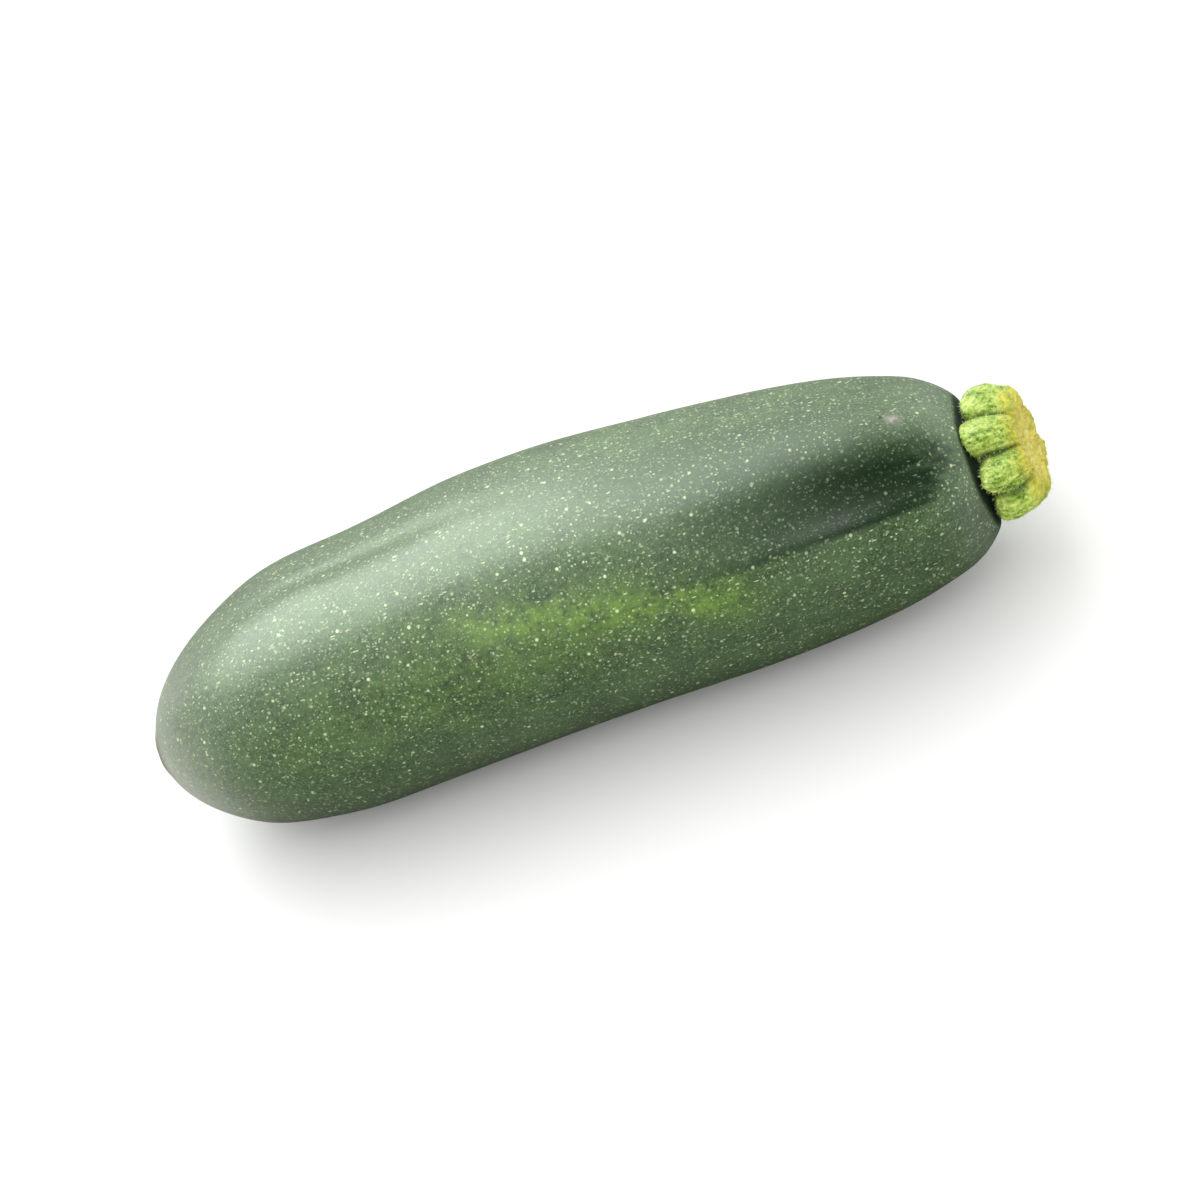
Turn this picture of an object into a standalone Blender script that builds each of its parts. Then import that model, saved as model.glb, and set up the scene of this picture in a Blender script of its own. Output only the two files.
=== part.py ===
"""A courgette as picked, lying on its belly: the fruit, and the stub of its cut stem.

The fruit grows along X, from its blossom end at -X to its stem at +X. Angles round it are measured
from its front (-Y) over its back (+Z). The origin is the middle of its footprint, on the table.
"""

from math import cos, exp, pi, radians, sin, sqrt, tan

import bmesh
import bpy
from mathutils import Vector

MM = 0.001

# The fruit along its length, measured from the blossom end
FRUIT_LENGTH = 164.0 * MM
GIRTH_RADIUS = 24.7 * MM
BLOSSOM_ROUNDING = 43.0 * MM
SHOULDER_AT = 110.0 * MM
SHOULDER_LENGTH = 55.2 * MM
SHOULDER_TURN = 1.6
SHOULDER_FULLNESS = 3.9

# The swelling on its back
HUMP_HEIGHT = 2.9 * MM
HUMP_AT = 81.5 * MM
HUMP_LENGTH = 29.0 * MM
HUMP_ANGLE = radians(130)
HUMP_SPREAD = radians(50)

# Its ribs, closer together over the back than under the belly, and strongest near the stem
RIBS = 6
RIB_ANGLE = radians(11.35)
RIB_CROWDING = 0.92
CROWDED_SIDE = radians(100)
RIB_HEIGHT = 0.35 * MM
STEM_RIB_HEIGHT = 0.75 * MM
STEM_RIBS_AT = 148.0 * MM
STEM_RIBS_LENGTH = 22.0 * MM

# Its slight bend, mostly level, with both ends towards the front, and the belly that lies flat
SWEEP = 2.8 * MM
DROOP = 0.9 * MM
BEND_AT = 87.0 * MM
HALF_LENGTH = 82.0 * MM
BELLY_FLAT = 0.4 * MM

# The neck leans, so the seat of the stem faces the same way as the cut, but less
NECK_LEAN = radians(10)
NECK_LEAN_FROM = 138.0 * MM
NECK_LEAN_TO = 163.0 * MM

# The stem, as (height above its seat on the fruit, radius) from its foot to the rim of the cut
SEAT_GAP = 0.3 * MM
FOOT_RADIUS = 9.4 * MM
STEM_OUTLINE = [
    (-0.1 * MM, 11.6 * MM),
    (0.5 * MM, 12.9 * MM),
    (1.9 * MM, 13.2 * MM),
    (3.8 * MM, 12.4 * MM),
    (6.0 * MM, 11.5 * MM),
    (8.0 * MM, 11.3 * MM),
    (8.7 * MM, 10.7 * MM),
]
CUT_TILT = radians(15)
CUT_FACING = radians(45)

# The stem's lobes, with a crease between each two
LOBES = 8
LOBE_ANGLE = radians(22)
LOBE_CROWDING = 0.5
LOBE_DEPTH = 0.14

FRUIT_AROUND = 64
FRUIT_ALONG = 46
STEM_AROUND = 88


def clamp(value):
    return min(1.0, max(0.0, value))


def bell(offset):
    return exp(-offset * offset)


def eased(value):
    """0 below 0 and 1 above 1, eased between them."""
    share = clamp(value)
    return share * share * (3 - 2 * share)


def even_angles(count):
    return [2 * pi * i / count for i in range(count)]


def fruit_radius(x):
    """The fruit's radius before its ribs and its hump are added."""
    blossom = sqrt(1 - clamp(1 - x / BLOSSOM_ROUNDING) ** 2)
    turned = clamp((x - SHOULDER_AT) / SHOULDER_LENGTH) ** SHOULDER_TURN
    return GIRTH_RADIUS * blossom * (1 - turned) ** (1 / SHOULDER_FULLNESS)


def rib_crest(angle):
    """1 on the crest of a rib, and -1 in the furrow between two."""
    return cos(RIBS * (angle - RIB_ANGLE) + RIB_CROWDING * sin(angle - CROWDED_SIDE))


def axis_point(x):
    """A point of the bent line that the fruit grows along."""
    bend = ((x - BEND_AT) / HALF_LENGTH) ** 2
    return Vector((x, -SWEEP * bend, -DROOP * bend))


def outwards(angle):
    """The direction away from the axis at an angle round it."""
    return Vector((0, -cos(angle), sin(angle)))


def slanted(slope, radius, angle):
    """How far a slanted section steps back along the axis, at a point of it."""
    return Vector((slope * radius * cos(angle - CUT_FACING), 0, 0))


def skin_point(x, angle):
    radius = fruit_radius(x)
    fullness = radius / GIRTH_RADIUS
    ribs = RIB_HEIGHT + STEM_RIB_HEIGHT * bell((x - STEM_RIBS_AT) / STEM_RIBS_LENGTH)
    hump = HUMP_HEIGHT * bell((x - HUMP_AT) / HUMP_LENGTH) * bell((angle - HUMP_ANGLE) / HUMP_SPREAD)
    radius += fullness * (ribs * rib_crest(angle) + hump)
    slope = eased((x - NECK_LEAN_FROM) / (NECK_LEAN_TO - NECK_LEAN_FROM)) * tan(NECK_LEAN)
    return axis_point(x) - slanted(slope, radius, angle) + radius * outwards(angle)


def lobe_crest(angle):
    """1 on the round back of a lobe, and 0 in the crease between two."""
    return abs(cos(LOBES / 2 * (angle - LOBE_ANGLE) + LOBE_CROWDING * sin(angle)))


def stem_point(height, radius, angle):
    """A point of the stem's side, whose slant grows from the neck's at its foot to the cut's at its top."""
    lobed = radius * (1 - LOBE_DEPTH * (1 - lobe_crest(angle)) ** 2)
    share = clamp(height / STEM_OUTLINE[-1][0])
    slope = tan(NECK_LEAN) + share * (tan(CUT_TILT) - tan(NECK_LEAN))
    up_the_stem = Vector((height, 0, 0)) - slanted(slope, lobed, angle)
    return axis_point(FRUIT_LENGTH + SEAT_GAP) + up_the_stem + lobed * outwards(angle)


def add_ring(mesh, points):
    return [mesh.verts.new(point) for point in points]


def join_rings(mesh, rings):
    """Skins a row of rings, each to the next."""
    for low, high in zip(rings, rings[1:]):
        for i in range(len(low)):
            after = (i + 1) % len(low)
            mesh.faces.new((low[i], low[after], high[after], high[i]))


def make_fruit():
    mesh = bmesh.new()
    rings = []
    for step in range(1, FRUIT_ALONG + 1):
        x = FRUIT_LENGTH * (1 - cos(pi * step / FRUIT_ALONG)) / 2
        rings.append(add_ring(mesh, [skin_point(x, angle) for angle in even_angles(FRUIT_AROUND)]))
    join_rings(mesh, rings)
    tip = mesh.verts.new(axis_point(0))
    first = rings[0]
    for i in range(FRUIT_AROUND):
        mesh.faces.new((tip, first[(i + 1) % FRUIT_AROUND], first[i]))
    mesh.faces.new(rings[-1])
    lay_flat(mesh)
    return mesh


def lay_flat(mesh):
    """Slices off the lowest sliver of the belly, as it is pressed flat where the fruit lies."""
    table = min(vert.co.z for vert in mesh.verts) + BELLY_FLAT
    whole = mesh.verts[:] + mesh.edges[:] + mesh.faces[:]
    bmesh.ops.bisect_plane(mesh, geom=whole, plane_co=(0, 0, table), plane_no=(0, 0, -1), clear_outer=True)
    bmesh.ops.holes_fill(mesh, edges=[edge for edge in mesh.edges if edge.is_boundary])


def make_stem():
    mesh = bmesh.new()
    angles = even_angles(STEM_AROUND)
    rings = [add_ring(mesh, [stem_point(0, FOOT_RADIUS, angle) for angle in angles])]
    for height, radius in STEM_OUTLINE:
        rings.append(add_ring(mesh, [stem_point(height, radius, angle) for angle in angles]))
    join_rings(mesh, rings)
    mesh.faces.new(rings[0])
    mesh.faces.new(rings[-1])
    return mesh


def make_material(name, colour, roughness):
    material = bpy.data.materials.new(name)
    material.use_nodes = True
    shader = material.node_tree.nodes["Principled BSDF"]
    shader.inputs["Base Color"].default_value = (*colour, 1)
    shader.inputs["Roughness"].default_value = roughness
    shader.inputs["Metallic"].default_value = 0
    return material


def add_piece(name, mesh, material):
    bmesh.ops.recalc_face_normals(mesh, faces=mesh.faces)
    data = bpy.data.meshes.new(name)
    mesh.to_mesh(data)
    mesh.free()
    data.shade_smooth()
    data.set_sharp_from_angle(angle=radians(40))
    data.materials.append(material)
    piece = bpy.data.objects.new(name, data)
    bpy.context.scene.collection.objects.link(piece)
    return piece


def stand_on_origin(pieces):
    """Moves the pieces together, so that the middle of their footprint is the origin."""
    points = [vert.co for piece in pieces for vert in piece.data.vertices]
    low = Vector([min(point[k] for point in points) for k in range(3)])
    high = Vector([max(point[k] for point in points) for k in range(3)])
    shift = Vector(((low.x + high.x) / 2, (low.y + high.y) / 2, low.z))
    for piece in pieces:
        piece.location = -shift


def main():
    for stray in list(bpy.data.objects):
        bpy.data.objects.remove(stray)
    skin = make_material("green_skin", (0.10, 0.20, 0.08), 0.42)
    rind = make_material("stem_rind", (0.42, 0.55, 0.12), 0.6)
    fruit = add_piece("fruit", make_fruit(), skin)
    stem = add_piece("stem", make_stem(), rind)
    stand_on_origin([fruit, stem])


main()
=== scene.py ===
from math import cos, exp, pi, radians, sin, tan

import bmesh
import bpy
from mathutils import Matrix, Vector, noise


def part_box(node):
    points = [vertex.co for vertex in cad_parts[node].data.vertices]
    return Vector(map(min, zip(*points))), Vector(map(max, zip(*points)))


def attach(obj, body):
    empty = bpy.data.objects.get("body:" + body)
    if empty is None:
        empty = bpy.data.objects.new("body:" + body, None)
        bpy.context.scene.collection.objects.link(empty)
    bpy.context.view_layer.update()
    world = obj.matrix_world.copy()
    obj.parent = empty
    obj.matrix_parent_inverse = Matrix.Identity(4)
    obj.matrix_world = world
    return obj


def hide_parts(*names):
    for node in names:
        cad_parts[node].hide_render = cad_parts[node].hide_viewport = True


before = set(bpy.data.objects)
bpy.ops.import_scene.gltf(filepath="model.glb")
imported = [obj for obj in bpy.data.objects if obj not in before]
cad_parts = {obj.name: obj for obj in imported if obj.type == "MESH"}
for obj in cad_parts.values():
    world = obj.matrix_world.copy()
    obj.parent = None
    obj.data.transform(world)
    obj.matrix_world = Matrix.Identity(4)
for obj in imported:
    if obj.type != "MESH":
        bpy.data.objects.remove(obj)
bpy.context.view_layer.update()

MM = 0.001

# The fruit. One grown piece, skin and flesh together: a slightly bent club with six blunt ribs,
# round at the blossom end, swollen on its back and drawn in at the neck that the stem grows from.
# X runs along it from the blossom end, and angles round it run from its front over its back.

body_sizes = {
    "Length": 164.0 * MM,
    "Girth radius": 24.7 * MM,
    "Blossom rounding": 43.0 * MM,
    "Shoulder at": 110.0 * MM,
    "Shoulder length": 55.2 * MM,
    "Shoulder turn": 1.6,
    "Shoulder fullness": 3.9,
    "Hump height": 2.9 * MM,
    "Hump at": 81.5 * MM,
    "Hump length": 29.0 * MM,
    "Hump angle": radians(130),
    "Hump spread": radians(50),
    "Ribs": 6,
    "Rib angle": radians(11.35),
    "Rib crowding": 0.92,
    "Crowded side": radians(100),
    "Rib height": 0.35 * MM,
    "Neck rib height": 0.75 * MM,
    "Neck ribs at": 148.0 * MM,
    "Neck ribs length": 22.0 * MM,
    "Sweep": 2.8 * MM,
    "Droop": 0.9 * MM,
    "Bend at": 87.0 * MM,
    "Half length": 82.0 * MM,
    "Axis aside": -0.32 * MM,
    "Axis height": 24.41 * MM,
    "Neck swelling": 0.5 * MM,
    "Neck at": 157.0 * MM,
    "Neck length": 4.5 * MM,
    "Neck cut in": 1.8 * MM,
    "Neck lean": radians(10),
    "Lean from": 138.0 * MM,
    "Lean to": 163.0 * MM,
    "Flutes": 38,
    "Flute height": 0.09 * MM,
    "Flute length": 15.0 * MM,
    "Swell": 0.35 * MM,
    "Ripple": 0.06 * MM,
    "Scar radius": 3.6 * MM,
    "Scar rim": 0.35 * MM,
    "Scar depth": 0.9 * MM,
}
cut_facing = radians(45)
groove_start, groove_end = 1.3 * MM, 0.6 * MM
swell_across, ripple_across, flute_drift_across = 26 * MM, 5 * MM, 9 * MM
scar_reach = 4 * MM
rows_along = 400
rows_around = 236
neck_share = 0.04
merge_distance = 0.001 * MM

bend_at_neck = ((body_sizes["Length"] - body_sizes["Bend at"]) / body_sizes["Half length"]) ** 2
neck = Vector((
    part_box("fruit")[0].x + body_sizes["Length"],
    body_sizes["Axis aside"] - body_sizes["Sweep"] * bend_at_neck,
    body_sizes["Axis height"] - body_sizes["Droop"] * bend_at_neck,
))

# Narrow ridges and grooves along it, as (angle, width, middle, length, height)
edges = [
    (radians(31), radians(6), 140.0 * MM, 30.0 * MM, 0.55 * MM),
    (radians(76), radians(4), 156.0 * MM, 12.0 * MM, -0.35 * MM),
    (radians(84), radians(6), 152.0 * MM, 20.0 * MM, 0.35 * MM),
    (radians(98), radians(5), 46.0 * MM, 26.0 * MM, -0.35 * MM),
    (radians(150), radians(7), 140.0 * MM, 30.0 * MM, 0.40 * MM),
    (radians(214), radians(6), 120.0 * MM, 50.0 * MM, -0.35 * MM),
    (radians(290), radians(6), 142.0 * MM, 26.0 * MM, 0.45 * MM),
    (radians(118), radians(42), 30.0 * MM, 11.0 * MM, 0.95 * MM),
    (radians(118), radians(42), 67.0 * MM, 11.0 * MM, 0.45 * MM),
    (radians(310), radians(50), 15.0 * MM, 9.0 * MM, 0.95 * MM),
]


class Field:
    """A value that a node tree works out at each point of a piece. Arithmetic on it adds Math nodes."""

    def __init__(self, tree, socket):
        self.tree = tree
        self.socket = socket

    def __add__(self, other):
        return reckon("ADD", self, other)

    def __radd__(self, other):
        return reckon("ADD", self, other)

    def __sub__(self, other):
        return reckon("SUBTRACT", self, other)

    def __rsub__(self, other):
        return reckon("SUBTRACT", other, self)

    def __mul__(self, other):
        return reckon("MULTIPLY", self, other)

    def __rmul__(self, other):
        return reckon("MULTIPLY", self, other)

    def __truediv__(self, other):
        return reckon("DIVIDE", self, other)

    def __rtruediv__(self, other):
        return reckon("DIVIDE", other, self)

    def __pow__(self, other):
        return reckon("POWER", self, other)


def plug(tree, value, socket):
    """Feeds a node's input from a field, or gives it a fixed value."""
    if isinstance(value, Field):
        tree.links.new(value.socket, socket)
    else:
        socket.default_value = value


def place(tree, kind, inputs=None, **options):
    """Adds a node, sets its options, and feeds its inputs by their names."""
    node = tree.nodes.new(kind)
    for option, value in options.items():
        setattr(node, option, value)
    for name, value in (inputs or {}).items():
        plug(tree, value, node.inputs[name])
    return node


def reckon(operation, *values):
    tree = next(value.tree for value in values if isinstance(value, Field))
    node = place(tree, "ShaderNodeMath", operation=operation)
    for value, socket in zip(values, node.inputs):
        plug(tree, value, socket)
    return Field(tree, node.outputs[0])


def clamped(value):
    return reckon("MINIMUM", reckon("MAXIMUM", value, 0.0), 1.0)


def bell(offset):
    """1 where the offset is 0, falling away on both sides of it."""
    return reckon("EXPONENT", -1 * offset * offset)


def bell_round(angle, middle, width):
    """A bell over an angle, which closes round the fruit with no seam."""
    turn = reckon("COSINE", angle - middle)
    return reckon("EXPONENT", (turn - 1) / (1 - cos(width)))


def eased(tree, value, start, end):
    """0 at start and 1 at end, eased between them."""
    inputs = {"Value": value, "From Min": start, "From Max": end, "To Min": 0.0, "To Max": 1.0}
    node = place(tree, "ShaderNodeMapRange", inputs, interpolation_type="SMOOTHSTEP")
    return Field(tree, node.outputs[0])


def noise_at(tree, where, size, detail=2.0, roughness=0.5):
    """Smooth noise about 0, from -0.5 to 0.5, whose lumps are about this size."""
    inputs = {"Vector": where, "Scale": 1 / size, "Detail": detail, "Roughness": roughness}
    node = place(tree, "ShaderNodeTexNoise", inputs)
    return Field(tree, node.outputs[0]) - 0.5


def joined(tree, x, y, z):
    return Field(tree, place(tree, "ShaderNodeCombineXYZ", {"X": x, "Y": y, "Z": z}).outputs[0])


def parted(tree, vector):
    node = place(tree, "ShaderNodeSeparateXYZ", {"Vector": vector})
    return [Field(tree, output) for output in node.outputs]


def start_tree(name, sizes):
    """A node tree that is given a mesh and a named input for each size, and the sizes as fields."""
    tree = bpy.data.node_groups.new(name, "GeometryNodeTree")
    for in_out in ("OUTPUT", "INPUT"):
        tree.interface.new_socket(name="Geometry", in_out=in_out, socket_type="NodeSocketGeometry")
    for size, value in sizes.items():
        socket = tree.interface.new_socket(name=size, in_out="INPUT", socket_type="NodeSocketFloat")
        socket.default_value = value
    given = place(tree, "NodeGroupInput")
    return tree, {size: Field(tree, given.outputs[size]) for size in sizes}


def end_tree(tree, shape, material):
    """Ends a tree in Realize Instances and Set Material."""
    real = place(tree, "GeometryNodeRealizeInstances", {"Geometry": shape})
    coated = place(tree, "GeometryNodeSetMaterial", {"Geometry": Field(tree, real.outputs[0])})
    coated.inputs["Material"].default_value = material
    tree.links.new(coated.outputs[0], place(tree, "NodeGroupOutput").inputs[0])


def grown(name, tree, sizes, start=None):
    """Runs a tree on a mesh, or on nothing, and keeps what it makes as a plain mesh in a new piece."""
    seed = bpy.data.objects.new(name + "_seed", start or bpy.data.meshes.new(name + "_seed"))
    bpy.context.scene.collection.objects.link(seed)
    modifier = seed.modifiers.new("shape", "NODES")
    modifier.node_group = tree
    for item in tree.interface.items_tree:
        if item.in_out == "INPUT" and item.name in sizes:
            modifier[item.identifier] = sizes[item.name]
    bpy.context.view_layer.update()
    evaluated = seed.evaluated_get(bpy.context.evaluated_depsgraph_get())
    mesh = bpy.data.meshes.new_from_object(evaluated)
    mesh.name = name
    seed.modifiers.clear()
    bpy.data.objects.remove(seed)
    piece = bpy.data.objects.new(name, mesh)
    bpy.context.scene.collection.objects.link(piece)
    return piece


def fruit_tree(material):
    """The fruit as a grid of rows along it and around it, laid on the rule of its shape."""
    tree, size = start_tree("courgette_fruit", body_sizes)
    counts = {"Size X": 1.0, "Size Y": 1.0, "Vertices X": rows_along + 1, "Vertices Y": rows_around + 1}
    grid = place(tree, "GeometryNodeMeshGrid", counts)
    mapped = place(
        tree, "GeometryNodeStoreNamedAttribute", {"Geometry": Field(tree, grid.outputs[0]), "Name": "UVMap"},
        data_type="FLOAT2", domain="CORNER",
    )
    tree.links.new(grid.outputs[1], mapped.inputs["Value"])
    across, round_it, _ = parted(tree, Field(tree, place(tree, "GeometryNodeInputPosition").outputs[0]))
    share, angle = across + 0.5, (round_it + 0.5) * 2 * pi

    x = size["Length"] * (1 - reckon("COSINE", pi * clamped(share / (1 - neck_share)))) / 2
    inwards = clamped((share - (1 - neck_share)) / neck_share)
    blossom = clamped(1 - x / size["Blossom rounding"])
    turned = clamped((x - size["Shoulder at"]) / size["Shoulder length"]) ** size["Shoulder turn"]
    fullness = (1 - blossom * blossom) ** 0.5 * (1 - turned) ** (1 / size["Shoulder fullness"])

    crowding = size["Rib crowding"] * reckon("SINE", angle - size["Crowded side"])
    crest = reckon("COSINE", size["Ribs"] * (angle - size["Rib angle"]) + crowding)
    near_neck = bell((x - size["Neck ribs at"]) / size["Neck ribs length"])
    ribs = crest * (size["Rib height"] + size["Neck rib height"] * near_neck)
    behind = bell((x - size["Hump at"]) / size["Hump length"])
    hump = size["Hump height"] * behind * bell((angle - size["Hump angle"]) / size["Hump spread"])
    raised = 0
    for middle, width, at, length, height in edges:
        raised = bell((x - at) / length) * bell_round(angle, middle, width) * height + raised

    plain = size["Girth radius"] * fullness
    out_y, out_z = -1 * reckon("COSINE", angle), reckon("SINE", angle)
    sketch = joined(tree, x, plain * out_y, plain * out_z)
    swell = noise_at(tree, sketch, swell_across, 1.0) * size["Swell"]
    ripple = noise_at(tree, sketch, ripple_across, 2.0) * size["Ripple"]
    wander = noise_at(tree, sketch, flute_drift_across, 1.0) * 3
    flutes = reckon("COSINE", size["Flutes"] * angle + wander) * size["Flute height"]
    flutes = flutes * bell((x - size["Length"]) / size["Flute length"])
    radius = plain + fullness * (ribs + hump + raised + swell + ripple + flutes)
    radius = radius + fullness * size["Neck swelling"] * bell((x - size["Neck at"]) / size["Neck length"])
    cut_in = eased(tree, x, size["Length"] - groove_start, size["Length"] - groove_end)
    radius = (radius - size["Neck cut in"] * cut_in) * (1 - inwards)
    leaning = eased(tree, x, size["Lean from"], size["Lean to"]) * reckon("TANGENT", size["Neck lean"])
    step_back = leaning * radius * reckon("COSINE", angle - cut_facing)

    from_scar = radius / size["Scar radius"]
    rim = size["Scar rim"] * bell((from_scar - 1) * 3)
    pit = size["Scar depth"] * bell(from_scar * 1.3)
    at_tip = bell(x / scar_reach)
    bend = (x - size["Bend at"]) / size["Half length"]
    bend = bend * bend
    x_there = x + (pit - rim) * at_tip - step_back
    y_there = size["Axis aside"] - size["Sweep"] * bend + radius * out_y
    z_there = size["Axis height"] - size["Droop"] * bend + radius * out_z
    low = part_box("fruit")[0]
    spot = joined(tree, x_there + low.x, y_there, reckon("MAXIMUM", z_there, low.z))

    shape = Field(tree, mapped.outputs[0])
    for kind, inputs in (
        ("GeometryNodeSetPosition", {"Position": spot}),
        ("GeometryNodeMergeByDistance", {"Distance": merge_distance}),
        ("GeometryNodeSetShadeSmooth", {}),
    ):
        shape = Field(tree, place(tree, kind, {"Geometry": shape, **inputs}).outputs[0])
    end_tree(tree, shape, material)
    return tree


# Its skin is dark green and waxy, flecked all over with pale dots and short dashes, and flushed with a
# brighter green along the front. It dulls to grey-green under a pale veil that is partly waxy bloom and
# partly painted sheen, and its blossom end is paler, partly from painted reflection of the pale table.
# Painted shade darkens its belly, its top towards the stem and the groove under the stem. A dark facet by
# the stem is partly its own darker green and partly painted dark reflection.

# The darkest green is partly the skin's own, for the dark prick and the darker facet by the stem, and partly
# painted shade and dark reflection on that facet and in the groove under the stem.
darkest_green_and_shade = (0.003, 0.022, 0.002)
deep_green = (0.016, 0.049, 0.009)
leaf_green = (0.072, 0.146, 0.037)
flush_green = (0.190, 0.350, 0.030)
bloom_and_sheen_grey = (0.300, 0.355, 0.300)
fleck_yellow = (0.740, 0.830, 0.480)
blossom_pale_and_reflection = (0.580, 0.620, 0.520)
scar_brown = (0.170, 0.125, 0.070)
blemish_pink = (0.420, 0.375, 0.350)

# Where colour and roughness change along the fruit and round it, for the skin's own marks and for painted
# shade and reflection: from where it starts, or ends, to where it is full
facet_along = ((92 * MM, 140 * MM), (161 * MM, 149 * MM))
facet_round = ((radians(28), radians(32)), (radians(82), radians(54)))
saddle_shade_along = ((78 * MM, 112 * MM), (152 * MM, 138 * MM))
saddle_shade_round = ((radians(60), radians(74)), (radians(104), radians(90)))
flush_along = ((52 * MM, 80 * MM), (123 * MM, 108 * MM))
flush_starts, flush_ends, flush_width = radians(50), radians(18), radians(8)
flush_from, flush_span = 60 * MM, 58 * MM
dulled_along, dulled_round = (74 * MM, 112 * MM), (radians(60), radians(84))
belly_shade_height = (20 * MM, 2 * MM)
blossom_reflection_height = (38 * MM, 18 * MM)
blemish_at, blemish_angle = 150.6 * MM, radians(81)
prick_at, prick_angle = 148.6 * MM, radians(82.5)
groove_shade_along = (162.4 * MM, 163.1 * MM)


def blended(tree, share, under, over):
    """The colour over laid on the colour under, by a share from 0 to 1."""
    node = place(tree, "ShaderNodeMix", data_type="RGBA")
    plug(tree, share, node.inputs[0])
    for value, socket in ((under, node.inputs[6]), (over, node.inputs[7])):
        plug(tree, value if isinstance(value, Field) else (*value, 1), socket)
    return Field(tree, node.outputs[2])


def dotted(tree, where, spacing, radius):
    """Round dots of about this radius, strewn this far apart, each of its own strength."""
    node = place(tree, "ShaderNodeTexVoronoi", {"Vector": where, "Scale": 1 / spacing})
    dot = eased(tree, Field(tree, node.outputs["Distance"]), radius / spacing, 0.45 * radius / spacing)
    strength, _, _ = parted(tree, Field(tree, node.outputs["Color"]))
    return dot * (0.25 + strength * strength * 0.75)


def stroked(tree, where, along, spacing, width):
    """Short strokes along a direction, about four times as long as they are wide."""
    x, y, z = parted(tree, where)
    squeezed = (x * along[0] + y * along[1] + z * along[2]) * 0.75
    squashed = joined(tree, x - squeezed * along[0], y - squeezed * along[1], z - squeezed * along[2])
    return dotted(tree, squashed, spacing, width)


def start_material(name):
    material = bpy.data.materials.new(name)
    material.use_nodes = True
    tree = material.node_tree
    where = Field(tree, place(tree, "ShaderNodeTexCoord").outputs["Object"])
    return material, tree, tree.nodes["Principled BSDF"], where


def finish_material(tree, shader, colour, roughness, relief):
    """Feeds the shader: its colour, its roughness, and its relief in metres."""
    plug(tree, colour, shader.inputs["Base Color"])
    plug(tree, roughness, shader.inputs["Roughness"])
    bump = place(tree, "ShaderNodeBump", {"Height": relief, "Strength": 1.0, "Distance": 1.0})
    tree.links.new(bump.outputs[0], shader.inputs["Normal"])


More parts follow.
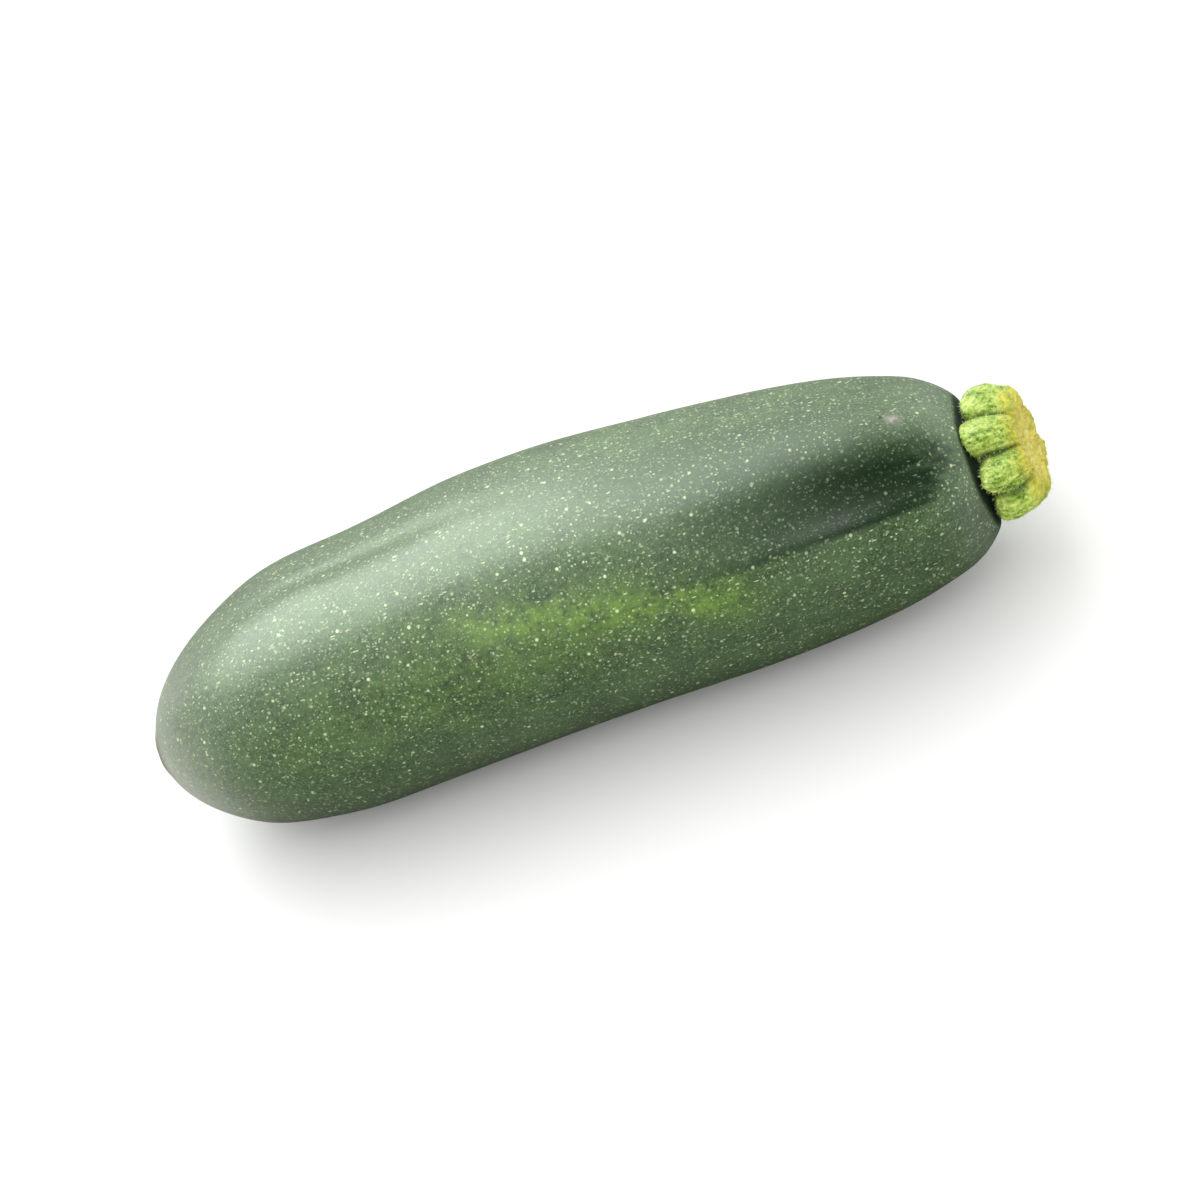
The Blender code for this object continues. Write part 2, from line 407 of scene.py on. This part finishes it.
def skin_material():
    material, tree, shader, where = start_material("courgette_skin")
    x, y, z = parted(tree, where)
    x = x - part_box("fruit")[0].x
    _, turn, _ = parted(tree, Field(tree, place(tree, "ShaderNodeUVMap", uv_map="UVMap").outputs[0]))
    angle = turn * 2 * pi

    def zone(at, length, middle, width):
        return bell((x - at) / length) * bell_round(angle, middle, width)

    mottle = noise_at(tree, where, 7 * MM, 3.0)
    cloud = noise_at(tree, where, 24 * MM, 2.0)
    streaks = noise_at(tree, joined(tree, x * 0.12, y, z), 1.6 * MM, 2.0)
    grain = noise_at(tree, where, 0.9 * MM, 2.0)
    sand = noise_at(tree, where, 0.42 * MM, 1.0)

    drifted = x + (mottle + streaks) * (9 * MM)
    # A facet by the stem, nearly covered with the darkest green, with no veil and few flecks: partly the
    # skin's own darker green, partly painted dark reflection.
    dark = eased(tree, drifted, *facet_along[0]) * eased(tree, drifted, *facet_along[1])
    dark = dark * eased(tree, angle, *facet_round[0]) * eased(tree, angle, *facet_round[1])
    # Painted shade: the top towards the stem is darkened towards deep green.
    saddle_shade = eased(tree, drifted, *saddle_shade_along[0]) * eased(tree, x, *saddle_shade_along[1])
    saddle_shade = saddle_shade * eased(tree, angle, *saddle_shade_round[0]) * eased(tree, angle, *saddle_shade_round[1])
    slanted = flush_starts - (x - flush_from) * ((flush_starts - flush_ends) / flush_span)
    flush = eased(tree, x, *flush_along[0]) * eased(tree, x, *flush_along[1])
    flush = flush * bell_round(angle, slanted, flush_width)
    flush = flush + zone(66 * MM, 34 * MM, radians(30), radians(22)) * 0.35
    patches = noise_at(tree, where, 2.2 * MM, 2.0)
    flush = clamped(flush * (0.62 + mottle * 1.6 + patches * 2.2 + streaks * 0.8 + grain))

    # Painted shade: the skin grows darker green towards the bottom, with less of the pale veil and fewer
    # flecks there.
    low = eased(tree, z, *belly_shade_height)
    shade = clamped(0.60 + mottle * 1.2 + cloud * 0.9 + streaks * 0.6 + grain * 1.1 + sand * 2.0)
    colour = blended(tree, shade, deep_green, leaf_green)
    colour = blended(tree, flush * 0.70, colour, flush_green)
    colour = blended(tree, low * 0.80, colour, deep_green)
    # Painted shade on the top towards the stem.
    colour = blended(tree, saddle_shade * 0.60, colour, deep_green)
    # Painted dark reflection, partly the skin's own darker green, on the facet by the stem.
    colour = blended(tree, dark * 0.97, colour, darkest_green_and_shade)
    # A pale grey veil, partly the skin's waxy bloom and partly painted sheen, thicker in a strip by the neck
    # and at the blossom end, and left off the dark facet.
    ends = bell((x - 159 * MM) / (5 * MM)) * 0.22 + bell(x / (9 * MM)) * 0.40
    bloom_and_sheen = clamped((0.09 + cloud * 0.12 + grain * 0.10) * (1 - low * 0.6) + ends) * (1 - dark)
    colour = blended(tree, bloom_and_sheen, colour, bloom_and_sheen_grey)
    # The blossom end turns pale, most towards the bottom: partly its own paler skin, partly painted
    # reflection of the pale table.
    tip = bell(x / (12 * MM)) * (0.25 + 0.60 * eased(tree, z, *blossom_reflection_height))
    colour = blended(tree, clamped(tip * (1 + grain)), colour, blossom_pale_and_reflection)

    bent = noise_at(tree, where, 6 * MM, 1.0) * (5 * MM)
    curled = joined(tree, x + bent, y + bent, z - bent)
    fine = dotted(tree, where, 0.66 * MM, 0.21 * MM)
    middling = dotted(tree, where, 1.10 * MM, 0.30 * MM)
    bold = dotted(tree, where, 2.60 * MM, 0.43 * MM)
    lengthwise = stroked(tree, curled, (1.0, 0.0, 0.0), 0.95 * MM, 0.17 * MM)
    upwards = stroked(tree, curled, (0.6, -0.3, 0.74), 1.05 * MM, 0.18 * MM)
    downwards = stroked(tree, curled, (0.6, 0.3, -0.74), 1.15 * MM, 0.18 * MM)
    strokes = clamped(lengthwise + upwards + downwards)
    flecks = clamped(fine * 0.35 + middling * 0.60 + bold + strokes * 0.80)
    flecks = flecks * (1 - dark * 0.75) * (1 - low * 0.35)
    colour = blended(tree, flecks, colour, fleck_yellow)

    blemish = zone(blemish_at, 1.3 * MM, blemish_angle, radians(2.4))
    colour = blended(tree, clamped(blemish * (0.75 + grain * 2)), colour, blemish_pink)
    prick = zone(prick_at, 0.4 * MM, prick_angle, radians(1.1))
    colour = blended(tree, prick, colour, darkest_green_and_shade)
    # Painted shade: the groove round the neck, under the stem's feet, is darkened to the darkest green and
    # made rougher.
    towards_front = (neck.y - y) * cos(cut_facing) + (z - neck.z) * sin(cut_facing)
    to_neck = x + towards_front * tan(body_sizes["Neck lean"])
    groove_shade = eased(tree, to_neck, *groove_shade_along)
    colour = blended(tree, groove_shade, colour, darkest_green_and_shade)

    scar = bell(x / (1.6 * MM))
    colour = blended(tree, clamped(scar * (0.9 + grain)), colour, scar_brown)

    dulled = eased(tree, drifted, *dulled_along) * eased(tree, angle, *dulled_round)
    roughness = 0.38 + dulled * 0.25 + grain * 0.10 + cloud * 0.10 + flecks * 0.08 + scar * 0.3 + groove_shade * 0.5
    relief = grain * (0.03 * MM) + flecks * (0.012 * MM) + streaks * (0.02 * MM)
    finish_material(tree, shader, colour, roughness, relief)
    return material


skin = skin_material()
fruit = grown("courgette_fruit", fruit_tree(skin), body_sizes)
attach(fruit, "root")
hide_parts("fruit")

# The stem. The stub that is left where the stalk was cut: eight fleshy lobes with deep creases between
# them, whose feet curl out over the neck of the fruit, and a rough cut face that has dried yellow.

seat_gap = 0.3 * MM
seat = neck + Vector((seat_gap, 0, 0))

# Each lobe's crease as an angle, and how far its foot reaches down past the others. The lumps and the
# tears are rows of (height, size, seed), and the outline is (height above the seat, radius) in mm.
lobes = [(0, 0.1), (45, 1.0), (88, 0.0), (130, 0.4), (174, -0.2), (218, 0.5), (264, 0.0), (312, 0.0)]
crease_depth = 0.33
foot_curl = 1.9 * MM
foot_reach = 1.4 * MM
foot_height = 2.2 * MM
foot_radius = 13 * MM
reach_swelling = 0.35 * MM
stem_height = 8.8 * MM
cut_tilt = radians(15)
cut_radius = 9 * MM
cut_dish = 1.1 * MM
bundles = 11
bundle_ring = 6.2 * MM
bundle_width = 0.9 * MM
bundle_height = 0.35 * MM
furrows = 61
furrow_height = 0.17 * MM
stem_lumps = [(0.50 * MM, 2.6 * MM, 11), (0.28 * MM, 1.1 * MM, 17), (0.13 * MM, 0.55 * MM, 19)]
cut_tears = [(0.50 * MM, 2.2 * MM, 23), (0.32 * MM, 0.7 * MM, 29)]
stem_around = 432
stem_outline = [(0.0, 7.5), (-0.1, 10.2), (0.3, 11.9), (1.3, 12.8), (2.8, 13.1), (4.4, 12.9),
                (6.0, 12.2), (7.3, 11.4), (8.2, 10.5), (8.7, 9.5), (8.8, 8.6)]
side_rows = 120
cut_rows = 56


def curve_through(points, share):
    """A point on the smooth curve that runs evenly through the points."""
    place_there = share * (len(points) - 1)
    i = min(int(place_there), len(points) - 2)
    t = place_there - i
    a, b, c, d = (points[min(max(k, 0), len(points) - 1)] for k in (i - 1, i, i + 1, i + 2))
    return tuple(
        0.5 * (2 * q + (r - p) * t + (2 * p - 5 * q + 4 * r - s) * t**2 + (3 * q - p - 3 * r + s) * t**3)
        for p, q, r, s in zip(a, b, c, d)
    )


def lobe_at(angle):
    """How round the lobe is at an angle, 0 in a crease and 1 on its back, and how far its foot reaches."""
    first = radians(lobes[0][0])
    angle = (angle - first) % (2 * pi)
    starts = [(radians(crease) - first, reach) for crease, reach in lobes] + [(2 * pi, 0)]
    for (start, reach), (end, _) in zip(starts, starts[1:]):
        if start <= angle <= end:
            return sin(pi * (angle - start) / (end - start)) ** 0.7, reach
    return 0.0, 0.0


def rough(point, size, seed):
    """Smooth noise from -1 to 1, whose lumps are about this size."""
    return noise.noise(point / size + Vector((seed, 2 * seed, 3 * seed)))


def roughened(point, layers):
    return sum(height * rough(point, size, seed) for height, size, seed in layers)


def stem_spot(height, radius, angle, cut):
    """A point of the stem, and how round its lobe is there. The cut is 0 up the side, and 1 on its face."""
    sketch = Vector((height, radius * cos(angle), radius * sin(angle)))
    wander = radians(5) * rough(sketch, 5 * MM, 3)
    fullness, reach = lobe_at(angle + wander)
    up = max(0.0, min(1.0, height / stem_height))
    depth = crease_depth * (1 - 0.3 * up) * (1 - 0.5 * cut)
    lobed = radius * (1 - depth * (1 - fullness)) + reach_swelling * reach * fullness
    foot = exp(-((height / foot_height) ** 2)) * (radius / foot_radius) ** 4
    height -= foot * (foot_curl * (fullness - 0.55) + foot_reach * reach * fullness)
    furrowed = furrow_height * sin(angle * furrows + 2.5 * rough(sketch, 3 * MM, 7)) * (1 - cut)
    lobed += furrowed + roughened(sketch, stem_lumps) * (1 - cut)
    slope = tan(body_sizes["Neck lean"]) * (1 - up) + tan(cut_tilt) * up
    slant = slope * lobed * cos(angle - cut_facing)
    frayed = max(cut, 5 * up - 4)
    torn = frayed * roughened(sketch, cut_tears)
    in_ring = exp(-(((radius - bundle_ring) / bundle_width) ** 2)) * max(0.0, cos(bundles * angle))
    dished = cut * cut_dish * (1 - (radius / cut_radius) ** 2) - cut * bundle_height * in_ring
    there = Vector((height - slant + torn - dished, -lobed * cos(angle), lobed * sin(angle)))
    return seat + there, fullness


def stem_mesh(material):
    outline = [(height * MM, radius * MM) for height, radius in stem_outline]
    rows = [(*curve_through(outline, i / side_rows), 0.0) for i in range(side_rows + 1)]
    top, rim = outline[-1]
    for i in range(1, cut_rows):
        share = i / cut_rows
        rows.append((top, rim * (1 - share), min(1.0, 4 * share)))
    mesh = bmesh.new()
    cut_layer = mesh.verts.layers.float.new("cut")
    crest_layer = mesh.verts.layers.float.new("crest")
    up_layer = mesh.verts.layers.float.new("up")
    rings = []
    for height, radius, cut in rows:
        ring = []
        for i in range(stem_around):
            spot, crest = stem_spot(height, radius, 2 * pi * i / stem_around, cut)
            vert = mesh.verts.new(spot)
            vert[cut_layer], vert[crest_layer], vert[up_layer] = cut, crest, height / top
            ring.append(vert)
        rings.append(ring)
    for low, high in zip(rings, rings[1:]):
        for i in range(stem_around):
            after = (i + 1) % stem_around
            mesh.faces.new((low[i], low[after], high[after], high[i]))
    for ring, cut in ((rings[0], 0.0), (rings[-1], 1.0)):
        middle = sum((vert.co for vert in ring), Vector()) / stem_around
        pole = mesh.verts.new(middle)
        pole[cut_layer], pole[crest_layer], pole[up_layer] = cut, 1.0, cut
        for i in range(stem_around):
            mesh.faces.new((pole, ring[i], ring[(i + 1) % stem_around]))
    bmesh.ops.recalc_face_normals(mesh, faces=mesh.faces)
    data = bpy.data.meshes.new("courgette_stem")
    mesh.to_mesh(data)
    mesh.free()
    data.shade_smooth()
    data.materials.append(material)
    return data


rind_green = (0.240, 0.430, 0.014)
rind_pale = (0.680, 0.800, 0.200)
crease_shade_green = (0.045, 0.115, 0.004)
foot_shade_green = (0.008, 0.022, 0.003)
cut_yellow = (0.800, 0.690, 0.060)
cut_pale = (0.840, 0.820, 0.260)
dried_orange = (0.420, 0.200, 0.020)


def own_value(tree, name):
    """A value that the piece's own mesh carries."""
    return Field(tree, place(tree, "ShaderNodeAttribute", attribute_name=name).outputs["Fac"])


def stem_material():
    material, tree, shader, where = start_material("courgette_stem")
    x, y, z = parted(tree, where)
    cut, crest, up = (own_value(tree, name) for name in ("cut", "crest", "up"))
    mottle = noise_at(tree, where, 2.2 * MM, 3.0)
    fibres = noise_at(tree, joined(tree, x * 0.18, y, z), 0.55 * MM, 2.0)
    grain = noise_at(tree, where, 0.35 * MM, 2.0)
    granules = dotted(tree, where, 0.75 * MM, 0.26 * MM)

    pits = noise_at(tree, where, 0.6 * MM, 3.0)
    pale = clamped(0.36 + mottle * 1.8 + fibres * 2.6 + pits * 2.2 + granules * 0.5)
    side = blended(tree, pale, rind_green, rind_pale)
    # Painted shade: darker green in the rind's small pits.
    side = blended(tree, eased(tree, pits + mottle * 0.6, -0.02, -0.24) * 0.70, side, crease_shade_green)
    # Painted shade: darker green in the creases between the lobes.
    side = blended(tree, eased(tree, crest, 0.66, 0.1) * 0.92, side, crease_shade_green)
    dried = eased(tree, up + mottle * 0.5, 0.72, 1.05)
    side = blended(tree, dried * 0.8, side, cut_yellow)
    # Painted shade: nearly black at the foot, where the stem meets the fruit.
    side = blended(tree, eased(tree, up, 0.05, -0.02), side, foot_shade_green)
    face = blended(tree, clamped(0.5 + mottle * 1.5 + grain), cut_yellow, cut_pale)
    across, height = seat.y - y, z - seat.z
    from_middle = (across * across + height * height) ** 0.5
    in_ring = bell((from_middle - bundle_ring) / bundle_width)
    in_bundle = in_ring * clamped(reckon("COSINE", bundles * reckon("ARCTAN2", height, across)))
    specks = eased(tree, noise_at(tree, where, 1.3 * MM, 3.0), 0.08, 0.2)
    face = blended(tree, clamped(specks * 0.7 + in_bundle * 0.45), face, dried_orange)
    colour = blended(tree, cut, side, face)

    roughness = 0.58 + grain * 0.15
    relief = grain * (0.08 * MM) + fibres * (0.10 * MM) + granules * (0.10 * MM) + pits * (0.25 * MM)
    finish_material(tree, shader, colour, roughness, relief)
    shader.inputs["Subsurface Weight"].default_value = 0.12
    shader.inputs["Subsurface Radius"].default_value = (0.8 * MM, 1.0 * MM, 0.3 * MM)
    shader.inputs["Subsurface Scale"].default_value = 1.0
    return material


stem = bpy.data.objects.new("courgette_stem", stem_mesh(stem_material()))
bpy.context.scene.collection.objects.link(stem)
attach(stem, "root")
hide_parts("stem")

# The fuzz. Short pale hairs grow all over the stem's lobes, and torn fibres stand on its cut face.
# Each is a thin pointed spike of a few faces, rooted in the rind.

hair_sizes = {
    "Per square metre": 2.6e6,
    "Length": 0.65 * MM,
    "Radius": 0.050 * MM,
    "Lean": 0.7,
    "Least cut": -1.0,
    "Most cut": 0.2,
    "Seed": 5,
}
fibre_sizes = {
    "Per square metre": 1.6e6,
    "Length": 0.9 * MM,
    "Radius": 0.07 * MM,
    "Lean": 1.1,
    "Least cut": 0.2,
    "Most cut": 2.0,
    "Seed": 9,
}


def fuzz_tree(name, sizes, material):
    tree, size = start_tree(name, sizes)
    surface = Field(tree, place(tree, "NodeGroupInput").outputs["Geometry"])
    cut = Field(tree, place(tree, "GeometryNodeInputNamedAttribute", {"Name": "cut"}).outputs[0])
    chosen = reckon("GREATER_THAN", cut, size["Least cut"]) * reckon("LESS_THAN", cut, size["Most cut"])
    inputs = {"Mesh": surface, "Selection": chosen, "Density": size["Per square metre"], "Seed": size["Seed"]}
    strewn = place(tree, "GeometryNodeDistributePointsOnFaces", inputs)
    spike = place(tree, "GeometryNodeMeshCone", {
        "Vertices": 4, "Radius Top": 0.0, "Radius Bottom": size["Radius"], "Depth": size["Length"],
    })
    growth = place(tree, "FunctionNodeRandomValue", {2: 0.4, 3: 1.2, "Seed": size["Seed"]}, data_type="FLOAT")
    lean = place(tree, "FunctionNodeRandomValue", {"Seed": size["Seed"]}, data_type="FLOAT_VECTOR")
    plug(tree, (-1.0, -1.0, -1.0), lean.inputs[0])
    plug(tree, (1.0, 1.0, 1.0), lean.inputs[1])
    lean_x, lean_y, _ = parted(tree, Field(tree, lean.outputs[0]))
    rooted = place(tree, "GeometryNodeInstanceOnPoints", {
        "Points": Field(tree, strewn.outputs["Points"]),
        "Instance": Field(tree, spike.outputs[0]),
        "Rotation": Field(tree, strewn.outputs["Rotation"]),
        "Scale": Field(tree, growth.outputs[1]),
    })
    leaned = place(tree, "GeometryNodeRotateInstances", {
        "Instances": Field(tree, rooted.outputs[0]),
        "Rotation": joined(tree, lean_x * size["Lean"], lean_y * size["Lean"], 0.0),
    })
    end_tree(tree, Field(tree, leaned.outputs[0]), material)
    return tree


def fuzz_material(name, root, tip):
    material, tree, shader, where = start_material(name)
    colour = blended(tree, clamped(0.5 + noise_at(tree, where, 0.6 * MM, 1.0) * 2), root, tip)
    finish_material(tree, shader, colour, 0.5, noise_at(tree, where, 0.1 * MM, 1.0) * (0.005 * MM))
    return material


for name, sizes, root, tip in (
    ("stem_hairs", hair_sizes, (0.42, 0.60, 0.12), (0.80, 0.86, 0.48)),
    ("cut_fibres", fibre_sizes, (0.60, 0.46, 0.08), (0.80, 0.72, 0.36)),
):
    tree = fuzz_tree(name, sizes, fuzz_material(name, root, tip))
    fuzz = grown(name, tree, sizes, stem.data.copy())
    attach(fuzz, "root")

# The room: a plain pale table under an even sky, a wide window that shines in the skin from above and
# behind to the left, and a soft lamp in front. The camera looks down on the courgette from the front.

table_reach = 6.0
table_white, table_grey = (0.88, 0.88, 0.87), (0.86, 0.86, 0.85)
table_bounce = (0.22, 0.22, 0.21)


def make_table():
    mesh = bmesh.new()
    corners = ((-1, -1), (1, -1), (1, 1), (-1, 1))
    mesh.faces.new([mesh.verts.new((x * table_reach, y * table_reach, 0)) for x, y in corners])
    data = bpy.data.meshes.new("table")
    mesh.to_mesh(data)
    mesh.free()
    material, tree, shader, where = start_material("table_paint")
    shade = blended(tree, clamped(0.5 + noise_at(tree, where, 0.2, 2.0)), table_grey, table_white)
    seen = Field(tree, place(tree, "ShaderNodeLightPath").outputs["Is Camera Ray"])
    shade = blended(tree, seen, table_bounce, shade)
    finish_material(tree, shader, shade, 0.6, noise_at(tree, where, 0.004, 2.0) * (0.02 * MM))
    data.materials.append(material)
    piece = bpy.data.objects.new("table", data)
    bpy.context.scene.collection.objects.link(piece)
    return piece


make_table()


def add_softbox(name, at, look_at, size, watts, tint, shines, lights):
    """A flat lamp. It can be made to shine in glossy surfaces only, or to light them only."""
    light = bpy.data.lights.new(name, "AREA")
    light.color = tint
    light.shape = "RECTANGLE"
    light.size, light.size_y = size
    light.energy = watts
    lamp = bpy.data.objects.new(name, light)
    lamp.location = at
    lamp.rotation_euler = (Vector(look_at) - Vector(at)).to_track_quat("-Z", "Y").to_euler()
    lamp.visible_glossy = shines
    lamp.visible_diffuse = lights
    bpy.context.scene.collection.objects.link(lamp)


window_at, below_window, window_size = (-0.65, 0.45, 1.1), (-0.65, 0.45, 0), (1.7, 1.8)
add_softbox("window", window_at, below_window, window_size, 86.0, (0.96, 0.98, 1.0), True, False)
add_softbox("window_glow", window_at, below_window, window_size, 12.0, (1.0, 1.0, 0.98), False, True)
add_softbox("front_lamp", (0.2, -1.0, 1.1), (0, 0, 0), (1.2, 1.2), 5.0, (1.0, 1.0, 0.98), False, True)

# The sky lights everything evenly, but what the skin mirrors of it is bright behind and dim in front.
world = bpy.data.worlds.new("room")
bpy.context.scene.world = world
world.use_nodes = True
tree = world.node_tree
paths = place(tree, "ShaderNodeLightPath")
seen, diffuse = (Field(tree, paths.outputs[name]) for name in ("Is Camera Ray", "Is Diffuse Ray"))
outlook = Field(tree, place(tree, "ShaderNodeTexCoord").outputs["Generated"])
towards_right, towards_back, _ = parted(tree, outlook)
mirrored = 0.05 + eased(tree, towards_back, -0.1, 0.8) * 1.9 + eased(tree, towards_right, -0.3, -0.95) * 0.5
strength = seen * 0.92 + (1 - seen) * (diffuse * 1.0 + (1 - diffuse) * mirrored)
background = tree.nodes["Background"]
background.inputs["Color"].default_value = (1.0, 1.0, 0.99, 1)
plug(tree, strength, background.inputs["Strength"])
bpy.context.scene.view_settings.view_transform = "Standard"

camera_turn = radians(8)
camera_height = radians(45)
camera_roll = radians(-25.3)
camera_distance = 0.623
aim = Vector((0, 0, 25.0 * MM))
aim_aside = 1.53 * MM
aim_up = -3.58 * MM

level_back = Vector((sin(camera_turn), -cos(camera_turn), 0))
back = level_back * cos(camera_height) + Vector((0, 0, sin(camera_height)))
right = Vector((cos(camera_turn), sin(camera_turn), 0))
up = back.cross(right)
rolled_right = cos(camera_roll) * right + sin(camera_roll) * up
rolled_up = cos(camera_roll) * up - sin(camera_roll) * right
camera = bpy.data.objects.new("camera", bpy.data.cameras.new("camera"))
camera.data.lens = 100
camera.data.clip_start = 0.01
aim += rolled_right * aim_aside + rolled_up * aim_up
turned = Matrix((rolled_right, rolled_up, back)).transposed().to_4x4()
camera.matrix_world = Matrix.Translation(aim + back * camera_distance) @ turned
bpy.context.scene.collection.objects.link(camera)
bpy.context.scene.camera = camera
